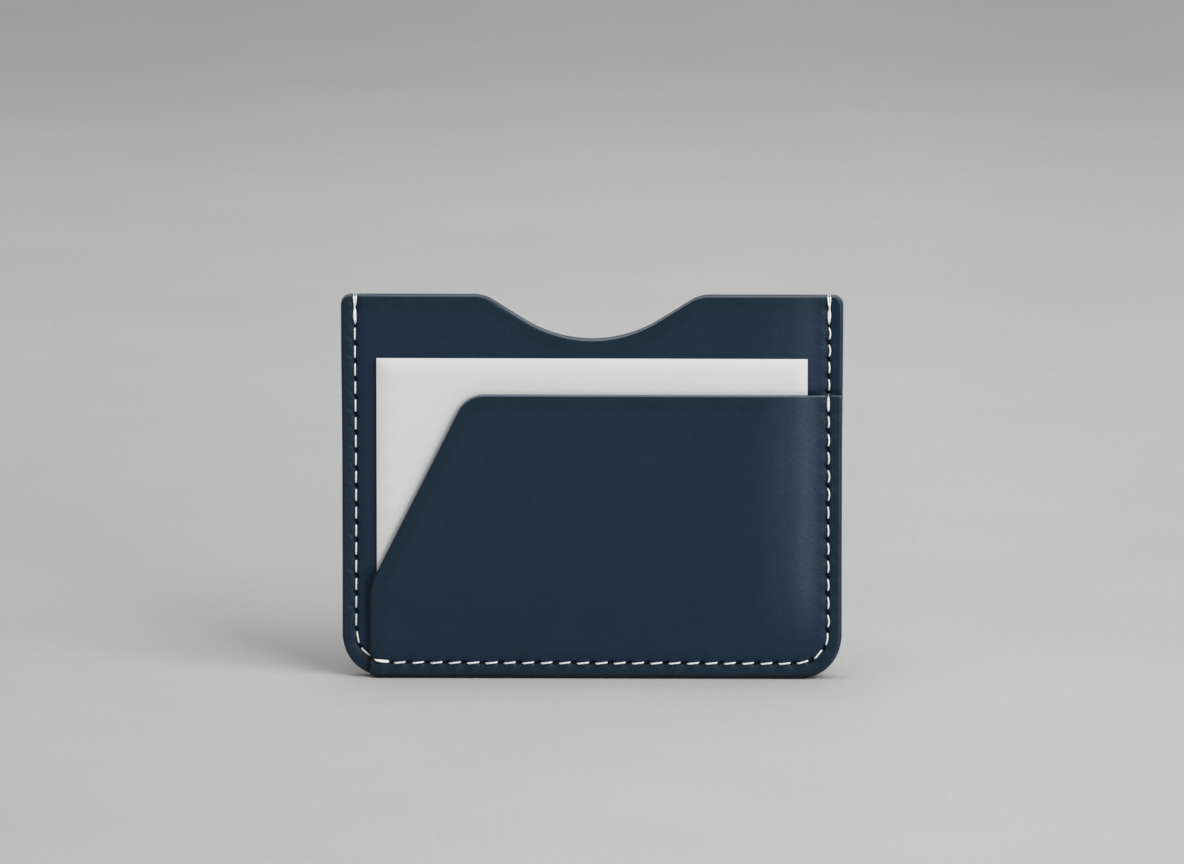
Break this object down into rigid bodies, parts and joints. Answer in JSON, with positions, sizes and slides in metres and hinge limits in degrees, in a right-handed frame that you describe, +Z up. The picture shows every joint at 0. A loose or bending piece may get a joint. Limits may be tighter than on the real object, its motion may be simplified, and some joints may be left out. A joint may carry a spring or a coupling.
{
  "type": "business card case",
  "caption": "Slim open-topped leather card case with a wavy thumb notch, a front pocket with a slanted edge, contrast saddle stitching and a blank card in the pocket.",
  "frame": {"origin": "middle of the bottom edge that the case stands on, at half its depth", "axes": "+X along the width, to the right as seen from the front; -Y out of the front; +Z up, towards the open top"},
  "size_m": [0.099, 0.0054, 0.0765],
  "materials": {
    "outer_leather": "smooth satin",
    "lining_leather": "matt",
    "thread": "waxed",
    "card_stock": "matt"
  },
  "bodies": {
    "case": {"back_panel": "outer_leather", "centre_panel": "outer_leather", "pocket_panel": "outer_leather", "back_lining": "lining_leather", "centre_lining": "lining_leather", "pocket_lining": "lining_leather", "seam_thread_first_strand": "thread", "seam_thread_second_strand": "thread", "top_edge_loops_left": "thread", "top_edge_loops_right": "thread", "pocket_tack_lower": "thread", "pocket_tack_upper": "thread"},
    "card": {"business_card": "card_stock"}
  },
  "joints": [
    {"name": "card_slide", "type": "slide", "parent": "case", "child": "card", "axis": [0, 0, 1], "range_m": [-0.001, 0.0475]}
  ]
}
